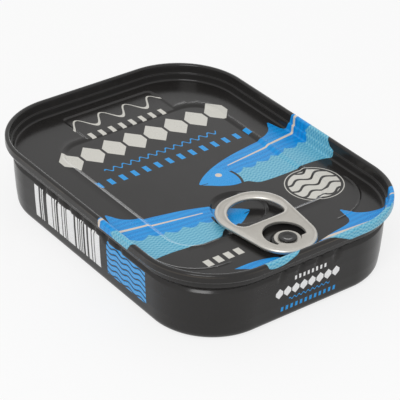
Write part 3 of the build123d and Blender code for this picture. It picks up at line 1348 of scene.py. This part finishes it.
@dataclass
class CanBody:
    """The drawn body: neck, shoulder with flutes, wall, base rounding and recessed base."""

    sizes: TinSizes
    sweeper: SweepTree
    finish: PrintedLacquer
    flutes: Flutes = field(default_factory=Flutes)
    gap: float = 0.02
    wall_inset: float = 2.12
    foot_inset: float = 3.2
    base_round: float = 2.6

    def section(self) -> np.ndarray:
        """The body's section, from under the lid, down the wall and to the middle of the base.

        Returns:
            Points (inset, height), one row each.
        """
        s, gap = self.sizes, self.gap
        panel, foot = s.panel_z, s.foot_z
        return round_section([
            (4.56 + gap, panel - 1.7 - gap, 0), (4.56 + gap, panel - 0.3 - gap, 0),
            (2.06 - gap, panel - 0.3 - gap, 0), (1.33 - gap, foot - gap, 0),
            (1.08, foot - gap, 0.05), (1.36, panel + 0.25, 0.4), (2.82, panel - 1.4, 0.25),
            (self.wall_inset, panel - 2.23, 0.5),
            (2.25, 11.0, 12.0), (2.6, 5.5, 12.0),
            (self.foot_inset, 0, self.base_round), (7.4, 0, 0.35), (8.8, 1.2, 0.4),
            (13.0, 1.2, 0.3), (13.7, 1.6, 0.35), (14.8, 1.6, 0.35), (15.5, 1.2, 0.3),
            (18.0, 1.2, 0)])

    def build(self) -> bpy.types.Object:
        """Builds and dresses the body.

        Returns:
            The body's object.
        """
        section = self.section()
        made = self.sweeper.sweep("can_body_shell", section, np.zeros(len(section)), self.sizes,
                                  self.finish.make(), self.flutes)
        close_up(made)
        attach(made, "root")
        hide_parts("can_body")
        return made


@dataclass
class Lid:
    """The seamed lid: seam, countersink, panel with its formed areas, and the rivet."""

    sizes: TinSizes
    sweeper: SweepTree
    finish: PrintedLacquer
    start_inset: float = 3.3
    field_low: Tuple[float, float] = (-32.8, -24.9)
    field_high: Tuple[float, float] = (28.8, 26.3)
    field_corner: float = 8.0
    field_depth: float = 0.5
    bead_height: float = 0.10
    bead_half: float = 0.4
    plate_low: Tuple[float, float] = (-45.8, -13.8)
    plate_high: Tuple[float, float] = (-28.8, 17.2)
    plate_corner: float = 2.0
    plate_depth: float = 0.2
    slope: float = 1.1
    plate_slope: float = 0.7
    well_centre: Tuple[float, float] = (19.2, 0.3)
    well_radius: float = 8.0
    well_depth: float = 0.9
    well_slope: float = 1.1
    line_radius: float = 14.5
    line_centre: Tuple[float, float] = (24.7, 18.6)
    line_height: float = 0.15
    line_half: float = 0.38
    line_fade: float = 1.5
    rivet: Tuple[float, float] = (40.0, 0.0)
    rivet_points: int = 48
    boss_radius: float = 3.9
    boss_rise: float = 0.6
    boss_slope: float = 0.7
    sway: float = 0.02
    calm_margin: float = 4.0
    calm_corner: float = 17.4
    calm_fade: float = 6.0
    rivet_clear: float = 5.0
    rivet_fade: float = 3.0
    post_radius: float = 1.6
    post_height: float = 0.6
    head_radius: float = 2.5
    head_height: float = 0.45
    dimple: float = 0.12
    level_below: float = -1.0     # ramp widths inside an area's edge; clear below this
    level_above: float = 1.7      # and above this
    grid_pitch: float = 1.9
    grid_low: Spot = (-46.5, -33.2)
    grid_high: Spot = (47.0, 34.0)
    grid_clear: float = 0.3

    def _box(self, low: Spot, high: Spot) -> Area:
        """Half sizes and middle of a rectangle."""
        return ((high[0] - low[0]) / 2, (high[1] - low[1]) / 2, (high[0] + low[0]) / 2,
                (high[1] + low[1]) / 2)

    def _field_inset(self, x: np.ndarray, y: np.ndarray) -> np.ndarray:
        """How far inside the sunk field places lie."""
        hx, hy, cx, cy = self._box(self.field_low, self.field_high)
        return -box_distance(x, y, hx, hy, self.field_corner, (cx, cy))

    def _plate_inset(self, x: np.ndarray, y: np.ndarray) -> np.ndarray:
        """How far inside the name plate places lie."""
        hx, hy, cx, cy = self._box(self.plate_low, self.plate_high)
        return -box_distance(x, y, hx, hy, self.plate_corner, (cx, cy))

    def _well_inset(self, x: np.ndarray, y: np.ndarray) -> np.ndarray:
        """How far inside the finger well places lie."""
        return self.well_radius - np.hypot(x - self.well_centre[0], y - self.well_centre[1])

    def rise(self, x: np.ndarray, y: np.ndarray) -> np.ndarray:
        """Height of the panel over its plain level.

        Args:
            x: Places along the tin.
            y: Places across it.

        Returns:
            Heights in millimetres.
        """
        inset = self._field_inset(x, y)
        sunk = self.field_depth * ease(inset / self.slope)
        bead = self.bead_height * ease(1 - np.abs(inset + self.bead_half) / self.bead_half)
        plate = self.plate_depth * ease(self._plate_inset(x, y) / (self.slope * self.plate_slope))
        well = self.well_depth * ease(self._well_inset(x, y) / self.well_slope)
        lx, ly = x - self.line_centre[0], np.abs(y) - self.line_centre[1]
        off_line = np.abs(np.hypot(lx, ly) - self.line_radius)
        line = self.line_height * ease(1 - off_line / self.line_half)
        line = line * ease(lx / self.line_fade + 1) * ease(ly / self.line_fade + 1)
        from_rivet = np.hypot(x - self.rivet[0], y - self.rivet[1])
        boss = self.boss_rise * ease((self.boss_radius + self.boss_slope - from_rivet)
                                     / self.boss_slope)
        sway = self.sway * np.sin(x / 8.5 + 0.7) * np.sin(y / 7.0 + 2.1)
        calm = ease(-box_distance(x, y, self.sizes.length / 2 - self.calm_margin,
                                  self.sizes.width / 2 - self.calm_margin,
                                  self.calm_corner) / self.calm_fade)
        calm = calm * ease((from_rivet - self.rivet_clear) / self.rivet_fade)
        bead = bead * ease(1 - plate / self.plate_depth)
        pressed = np.maximum(sunk, plate) + well * ease(sunk / self.field_depth)
        return line + bead + boss + sway * calm - pressed

    def _contours(self) -> List[Loop]:
        """Loops that the panel's edges follow, round each formed area.

        Returns:
            Closed loops.
        """
        loops: List[Loop] = []
        steps = (-0.73, -0.55, -0.36, -0.18, 0.0, 0.12, 0.27, 0.5, 0.73, 0.88, 1.0, 1.12, 1.45)
        hx, hy, cx, cy = self._box(self.field_low, self.field_high)
        for t in steps:
            o = t * self.slope
            loops.append(rounded_outline(hx - o, hy - o, self.field_corner - o, 0.7,
                                         (cx, cy)))
        hx, hy, cx, cy = self._box(self.plate_low, self.plate_high)
        for t in steps[::2] + (0.5,):
            o = t * self.slope * self.plate_slope
            loops.append(rounded_outline(hx - o, hy - o, max(0.3, self.plate_corner - o), 0.35,
                                         (cx, cy)))
        for t in steps:
            loops.append(circle(self.well_radius - t * self.well_slope, self.well_centre, 72))
        for t in (-0.5, 0.0, 0.25, 0.5, 0.75, 1.0, 1.5):
            loops.append(circle(self.boss_radius + self.boss_slope - t * self.boss_slope,
                                self.rivet, self.rivet_points))
        return loops

    def _on_level(self, places: np.ndarray) -> np.ndarray:
        """Which places lie clear of every ramp, so that only contours shape the ramps.

        Args:
            places: Points in plan.

        Returns:
            One truth value for each place.
        """
        x, y = places[:, 0], places[:, 1]
        field_inset = self._field_inset(x, y) / self.slope
        plate_inset = self._plate_inset(x, y) / (self.slope * self.plate_slope)
        well_inset = self._well_inset(x, y) / self.well_slope
        clear = np.ones(len(places), bool)
        for inset in (field_inset, plate_inset, well_inset):
            clear &= (inset < self.level_below) | (inset > self.level_above)
        return clear

    def _raised_lines(self) -> np.ndarray:
        """Loose points that carry the two raised corner lines.

        Returns:
            Points in plan, one row each.
        """
        points = []
        for offset in (-0.6, -0.38, -0.2, 0.0, 0.2, 0.38, 0.6):
            for a in np.linspace(-0.2, math.pi / 2 + 0.2, 46):
                for side in (-1, 1):
                    r = self.line_radius + offset
                    points.append((self.line_centre[0] + r * math.cos(a),
                                   side * (self.line_centre[1] + r * math.sin(a))))
        return np.array(points)

    def section(self) -> np.ndarray:
        """The lid's section, from the panel over the seam and back underneath.

        Returns:
            Points (inset, height), one row each.
        """
        s = self.sizes
        panel, foot, top = s.panel_z, s.foot_z, s.height
        return round_section([
            (self.start_inset, panel, 0), (s.edge_inset, panel, 0.6), (2.08, top - 2.6, 0.2),
            (1.63, top - 2.6, 0.2), (1.35, top, 0.55), (0.0, top, 0.55), (0.0, foot + 0.45, 0.3),
            (0.28, foot, 0.12), (1.33, foot, 0), (2.06, panel - 0.3, 0), (4.56, panel - 0.3, 0),
            (4.56, panel - 1.7, 0)])

    def _panel(self, rim: bpy.types.Object) -> bpy.types.Object:
        """The panel, joined to the swept rim's inner loop.

        Args:
            rim: The swept seam and countersink.

        Returns:
            The panel's object.
        """
        count = len(rim.data.vertices)
        places, insets = np.zeros(count * 3), np.zeros(count)
        rim.data.vertices.foreach_get("co", places)
        rim.data.attributes["inset"].data.foreach_get("value", insets)
        places = places.reshape(-1, 3) / MM
        inner = np.abs(insets / MM - self.start_inset) < 0.01
        inner &= places[:, 2] > self.sizes.panel_z - 0.05
        loop = places[inner][:, :2]
        loop = loop[np.argsort(np.arctan2(loop[:, 1], loop[:, 0]))]
        axes = [np.arange(low, high, self.grid_pitch)
                for low, high in zip(self.grid_low, self.grid_high)]
        grid = np.stack(np.meshgrid(*axes), -1).reshape(-1, 2)
        loose = np.concatenate([grid[self._on_level(grid)], self._raised_lines()])
        limit = box_distance(loose[:, 0], loose[:, 1],
                             self.sizes.length / 2 - self.start_inset - self.grid_clear,
                             self.sizes.width / 2 - self.start_inset - self.grid_clear,
                             self.sizes.corner - self.start_inset - self.grid_clear)
        post = circle(self.post_radius, self.rivet, self.rivet_points)
        flat, faces = fill_plan([loop, post] + self._contours(), loose[limit < 0])
        middle = flat[faces].mean(1)
        from_rivet = np.hypot(middle[:, 0] - self.rivet[0], middle[:, 1] - self.rivet[1])
        faces = faces[from_rivet > self.post_radius]
        rises = self.rise(flat[:, 0], flat[:, 1])
        edge = box_distance(flat[:, 0], flat[:, 1], self.sizes.length / 2 - self.start_inset,
                            self.sizes.width / 2 - self.start_inset,
                            self.sizes.corner - self.start_inset)
        rises[edge > -0.05] = 0.0
        return mesh_object("panel", np.column_stack([flat, self.sizes.panel_z + rises]), faces)

    def _rivet(self) -> bpy.types.Object:
        """The rivet's post and head, joined to the boss.

        Returns:
            The rivet's object.
        """
        low = self.sizes.panel_z + self.boss_rise
        under = low + self.post_height
        top, floor = under + self.head_height, under + self.head_height - self.dimple
        line = round_section([(self.post_radius, low, 0), (self.post_radius, under, 0),
                              (self.head_radius, under, 0.08), (self.head_radius, top, 0.22),
                              (1.5, top - 0.02, 0.5), (1.0, floor, 0.5), (0.25, floor, 0)],
                             turns=5, longest=0.5)
        return spin("rivet", line, self.rivet, self.rivet_points, False)

    def build(self) -> bpy.types.Object:
        """Builds and dresses the lid.

        Returns:
            The lid's object.
        """
        material = self.finish.make()
        section = self.section()
        lengths = np.r_[0, np.cumsum(np.hypot(*np.diff(section, axis=0).T))]
        runs = lengths - self.start_inset
        rim = self.sweeper.sweep("rim", section, runs, self.sizes, material)
        panel, rivet = self._panel(rim), self._rivet()
        for part in (panel, rivet):
            flat = np.zeros(len(part.data.vertices) * 3)
            part.data.vertices.foreach_get("co", flat)
            flat = flat.reshape(-1, 3)
            flat[:, 2] = 0
            if part is rivet:
                flat[:, 0] += 0.2
            set_values(part, "sheet", flat)
            set_values(part, "run", np.full(len(flat), -0.01))
        made = join("lid_panel_and_seam", [rim, panel, rivet])
        use_only(made, material)
        close_up(made)
        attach(made, "root")
        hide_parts("lid")
        return made


@dataclass
class PullTab:
    """The curled pull tab: ring, nose, and the thin tongue that the rivet holds."""

    sizes: TinSizes
    finish: RolledMetal
    rivet_x: float = 40.0
    lift: float = 0.6
    thickness: float = 1.4
    tip: float = 47.2
    nose_radius: float = 8.8
    length: float = 30.6
    width: float = 21.2
    shoulder: float = 9.2
    band: float = 2.8
    hole_length: float = 11.1
    hole_corner: float = 2.6
    slot_radius: float = 5.7
    slot_shift: float = 1.4
    root: float = 1.7
    tongue_radius: float = 3.6
    tongue_thickness: float = 0.6
    tongue_points: int = 64
    curl: float = 0.72
    web_drop: float = 0.16
    web_fade: float = 0.6
    under_share: float = 2.4      # how much deeper the web lies on the lower skin
    slot_round: float = 0.14
    slot_drop: float = 0.10
    run: float = 1.0
    grid_pitch: float = 1.0
    grid_low: Spot = (17.0, -10.0)
    grid_high: Spot = (47.0, 10.1)
    edge_clear: float = 1.5
    slot_clear: float = 0.5

    @property
    def middle_z(self) -> float:
        """Height of the middle of the tab's metal."""
        return self.sizes.panel_z + self.lift + self.thickness / 2

    def outline(self, offset: float) -> Loop:
        """The tab's outline, moved inwards.

        Args:
            offset: How far.

        Returns:
            A closed loop.
        """
        ring_x = self.tip - self.length + self.shoulder
        ring_y = self.width / 2 - self.shoulder
        discs = ((self.tip - self.nose_radius, 0.0, self.nose_radius),
                 (ring_x, ring_y, self.shoulder), (ring_x, -ring_y, self.shoulder))
        return self._hull(discs, offset)

    def _hull(self, discs: Sequence[Tuple[float, float, float]], offset: float) -> Loop:
        """The outline round a few discs, moved inwards.

        Args:
            discs: Each disc's (x, y, radius).
            offset: How far.

        Returns:
            A closed loop.
        """
        points = []
        for a in np.linspace(0, 2 * math.pi, 144, endpoint=False):
            nx, ny = math.cos(a), math.sin(a)
            x, y, r = max(discs, key=lambda d: d[0] * nx + d[1] * ny + d[2])
            points.append((x + (r - offset) * nx, y + (r - offset) * ny))
        return fill_runs(np.array(points), self.run)

    def hole(self, offset: float) -> Loop:
        """The finger hole's edge, moved out into the metal.

        Args:
            offset: How far.

        Returns:
            A closed loop.
        """
        start = self.tip - self.length + self.band
        radius = self.width / 2 - self.band
        centre, inner = start + radius, radius - self.hole_corner
        corner_x = start + self.hole_length - self.hole_corner
        corner_y = math.sqrt(inner ** 2 - (corner_x - centre) ** 2)
        limit = math.atan2(corner_y, corner_x - centre)
        points = []
        for a in np.linspace(-math.pi, math.pi, 120, endpoint=False):
            if abs(a) <= limit:
                x, y, r = corner_x, math.copysign(corner_y, a), self.hole_corner
            else:
                x, y, r = centre, 0.0, radius
            points.append((x + (r + offset) * math.cos(a), y + (r + offset) * math.sin(a)))
        return fill_runs(np.array(points), self.run)

    def slot(self, offset: float) -> Loop:
        """The edge of the opening round the tongue, moved out into the metal.

        Args:
            offset: How far.

        Returns:
            A closed loop.
        """
        big, small = self.slot_radius + offset, self.tongue_radius + offset
        big_x, small_x = self.rivet_x - self.slot_shift, self.rivet_x
        chord = self.rivet_x + self.root + offset
        turn = math.acos((chord - big_x) / big)
        close = math.acos((chord - small_x) / small)
        points = [(small_x + small * math.cos(a), small * math.sin(a))
                  for a in np.linspace(-close, close, 21)]
        points += [(big_x + big * math.cos(a), big * math.sin(a))
                   for a in np.linspace(turn, 2 * math.pi - turn, 61)]
        return fill_runs(np.array(points), self.run)

    def _skin(self, places: np.ndarray, top: bool) -> np.ndarray:
        """Heights of the tab's upper or lower skin over its middle.

        Args:
            places: Points in plan.
            top: Whether it is the upper skin.

        Returns:
            Heights in millimetres.
        """
        curled = np.minimum(-loop_distance(places, self.outline(0.0)),
                            loop_distance(places, self.hole(0.0)))
        cut = loop_distance(places, self.slot(0.0))
        t = np.clip(curled / self.curl, 0, 1)
        height = self.thickness / 2 * np.sqrt(np.maximum(0, 1 - (1 - t) ** 2))
        drop = self.web_drop * (1.0 if top else self.under_share)
        height -= drop * ease((curled - self.curl - 0.05) / self.web_fade)
        near = np.clip(cut / self.slot_round, 0, 1)
        height -= self.slot_drop * (1 - np.sqrt(np.maximum(0, 1 - (1 - near) ** 2)))
        return height if top else -height

    def _half(self, top: bool) -> bpy.types.Object:
        """The tab's upper or lower skin.

        Args:
            top: Whether it is the upper skin.

        Returns:
            The skin's object.
        """
        shares = (0.0, 0.03, 0.1, 0.22, 0.38, 0.56, 0.76, 1.0, 1.22, 1.45, 1.68, 1.9)
        loops = [self.outline(t * self.curl) for t in shares]
        loops += [self.hole(t * self.curl) for t in shares]
        loops += [self.slot(o) for o in (0.0, 0.03, 0.08, 0.14, 0.3)]
        axes = [np.arange(low, high, self.grid_pitch)
                for low, high in zip(self.grid_low, self.grid_high)]
        grid = np.stack(np.meshgrid(*axes), -1).reshape(-1, 2)
        outside, hole, slot = self.outline(0.0), self.hole(0.0), self.slot(0.0)
        keep = loop_distance(grid, outside) < -self.edge_clear
        keep &= loop_distance(grid, hole) > self.edge_clear
        keep &= loop_distance(grid, slot) > self.slot_clear
        flat, faces = fill_plan(loops, grid[keep])
        middle = flat[faces].mean(1)
        keep = (loop_distance(middle, outside) < 0) & (loop_distance(middle, hole) > 0)
        faces = faces[keep & (loop_distance(middle, slot) > 0)]
        heights = self.middle_z + self._skin(flat, top)
        made = mesh_object("skin", np.column_stack([flat, heights]), faces)
        edge = np.minimum(-loop_distance(flat, outside), loop_distance(flat, hole))
        # The curl mask carries the curled edges' real polish and their painted highlight.
        set_values(made, "curl", ease(1.4 - np.abs(edge) / self.curl))
        return made

    def _slot_wall(self) -> bpy.types.Object:
        """The upright wall of the slot, between the two skins' edges.

        Returns:
            The wall's object.
        """
        loop = self.slot(0.0)
        rows = [np.column_stack([loop, self.middle_z + self._skin(loop, top)])
                for top in (True, False)]
        count = len(loop)
        faces = [(k, (k + 1) % count, count + (k + 1) % count, count + k) for k in range(count)]
        return mesh_object("slot_wall", np.concatenate(rows), faces)

    def _tongue(self) -> bpy.types.Object:
        """The thin disc under the rivet's head, with its root under the tab.

        Returns:
            The tongue's object.
        """
        low = self.sizes.panel_z + self.lift
        high = low + self.tongue_thickness
        rows = round_section([(1.65, low, 0), (self.tongue_radius, low, 0.1),
                              (self.tongue_radius, high, 0.2), (2.9, high, 0.2),
                              (2.62, high - 0.07, 0.1), (1.65, high - 0.07, 0)],
                             turns=4, longest=0.5)
        made = spin("tongue", rows, (self.rivet_x, 0.0), self.tongue_points, True)
        # The tongue takes a fifth of the curled edges' polish and painted highlight.
        set_values(made, "curl", np.full(len(made.data.vertices), 0.2))
        return made

    def build(self) -> bpy.types.Object:
        """Builds and dresses the tab.

        Returns:
            The tab's object.
        """
        material = self.finish.make()
        high, low = self._half(True), self._half(False)
        shell = join("shell", [high, low, self._slot_wall()])
        close_up(shell)
        tongue = self._tongue()
        close_up(tongue)
        made = join("pull_tab_curled", [shell, tongue])
        use_only(made, material)
        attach(made, "root")
        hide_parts("pull_tab")
        return made


# ---------------------------------------------------------------- studio
def direction(azimuth: float, elevation: float) -> Vector:
    """The way out from the tin, from degrees round it and degrees above the floor."""
    a, e = math.radians(azimuth), math.radians(elevation)
    return Vector((math.sin(a) * math.cos(e), -math.cos(a) * math.cos(e), math.sin(e)))


@dataclass(frozen=True)
class Lamp:
    """A soft square lamp that faces the tin, in degrees, metres and watts."""

    name: str
    azimuth: float
    elevation: float
    size: float
    power: float
    distance: float = 0.9

    def hang(self) -> None:
        """Adds the lamp."""
        back = direction(self.azimuth, self.elevation)
        data = bpy.data.lights.new(self.name, "AREA")
        data.size, data.energy = self.size, self.power
        lamp = bpy.data.objects.new(self.name, data)
        lamp.location = back * self.distance
        lamp.rotation_euler = back.to_track_quat("Z", "Y").to_euler()
        bpy.context.scene.collection.objects.link(lamp)


@dataclass
class Studio:
    """Pale floor, soft light and the camera."""

    azimuth: float = 52.812
    elevation: float = 32.239
    roll: float = 1.319
    distance: float = 0.51742
    target: Tuple[float, float, float] = (0.0, 0.0, 0.010)
    lens: float = 170.363
    sensor: float = 36.0
    shift: Spot = (0.01393, -0.00686)
    lamps: Tuple[Lamp, ...] = (Lamp("key", 38, 46, 0.36, 2.9), Lamp("back", 228, 15, 0.24, 0.42))
    sky_level: float = 0.68
    sky_in_gloss: float = 0.92
    floor_reach: float = 3e3
    floor_drop: float = 0.02
    floor_paint: Colour = (0.88, 0.88, 0.88, 1.0)
    floor_glow: float = 0.78
    floor_in_gloss: float = 0.3

    def camera(self) -> None:
        """Places the camera."""
        a, roll = math.radians(self.azimuth), math.radians(self.roll)
        back = direction(self.azimuth, self.elevation)
        right = Vector((math.cos(a), math.sin(a), 0.0))
        up = back.cross(right)
        turned = right * math.cos(roll) + up * math.sin(roll)
        above = up * math.cos(roll) - right * math.sin(roll)
        data = bpy.data.cameras.new("camera")
        data.lens, data.sensor_width = self.lens, self.sensor
        data.shift_x, data.shift_y = self.shift
        data.clip_start, data.clip_end = 0.01, 20.0
        camera = bpy.data.objects.new("camera", data)
        axes = Matrix((turned, above, back)).transposed().to_4x4()
        camera.matrix_world = Matrix.Translation(Vector(self.target) + back * self.distance) @ axes
        bpy.context.scene.collection.objects.link(camera)
        bpy.context.scene.camera = camera

    def world(self) -> None:
        """A plain pale surround, white where the camera or glass sees it and nearly so in gloss."""
        world = bpy.data.worlds.new("surround")
        bpy.context.scene.world = world
        bench = fresh_bench(world)
        rays = bench.add("ShaderNodeLightPath")
        seen = bench.out(rays, "Is Camera Ray") | bench.out(rays, "Is Transmission Ray")
        gloss = bench.out(rays, "Is Glossy Ray")
        strength = (seen | gloss * self.sky_in_gloss).math("MAXIMUM", self.sky_level)
        bench.close("ShaderNodeOutputWorld", bench.add("ShaderNodeBackground", inputs={
            "Color": (1, 1, 1, 1), "Strength": strength}))

    def floor(self) -> None:
        """A wide pale floor, just under the tin's foot."""
        far, low = self.floor_reach, -self.floor_drop
        made = mesh_object("floor", np.array([(-far, -far, low), (far, -far, low),
                                              (far, far, low), (-far, far, low)]), [(0, 1, 2, 3)])
        material = bpy.data.materials.new("floor_white")
        bench = fresh_bench(material)
        paint = bench.add("ShaderNodeBsdfDiffuse", inputs={"Color": self.floor_paint})
        glow = bench.add("ShaderNodeEmission", inputs={"Color": (1, 1, 1, 1), "Strength": 1.0})
        rays = bench.add("ShaderNodeLightPath")
        seen = bench.out(rays, "Is Camera Ray") | bench.out(rays, "Is Transmission Ray")
        share = seen * self.floor_glow | bench.out(rays, "Is Glossy Ray") * self.floor_in_gloss
        bench.close("ShaderNodeOutputMaterial", bench.add("ShaderNodeMixShader", inputs={
            0: share, 1: bench.out(paint), 2: bench.out(glow)}))
        made.data.materials.append(material)
        made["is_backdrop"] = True

    def build(self) -> None:
        """Sets the whole studio up."""
        self.camera()
        self.world()
        for lamp in self.lamps:
            lamp.hang()
        self.floor()
        bpy.context.scene.view_settings.view_transform = "Standard"


def main() -> None:
    """Builds the tin and the studio, and reports each piece."""
    logging.basicConfig(level=logging.INFO, format="%(name)s: %(message)s", stream=sys.stdout)
    sizes = TinSizes.from_frame()
    LOG.info("size %.1f x %.1f x %.1f mm", sizes.length, sizes.width, sizes.height)
    sweeper = SweepTree()
    assemblies = (CanBody(sizes, sweeper, PrintedLacquer(Piece.BODY)),
                  Lid(sizes, sweeper, PrintedLacquer(Piece.LID)),
                  PullTab(sizes, RolledMetal()))
    for assembly in assemblies:
        made = assembly.build()
        made.data.calc_loop_triangles()
        LOG.info("%s: %d triangles", made.name, len(made.data.loop_triangles))
    Studio().build()


if __name__ == "__main__":
    main()
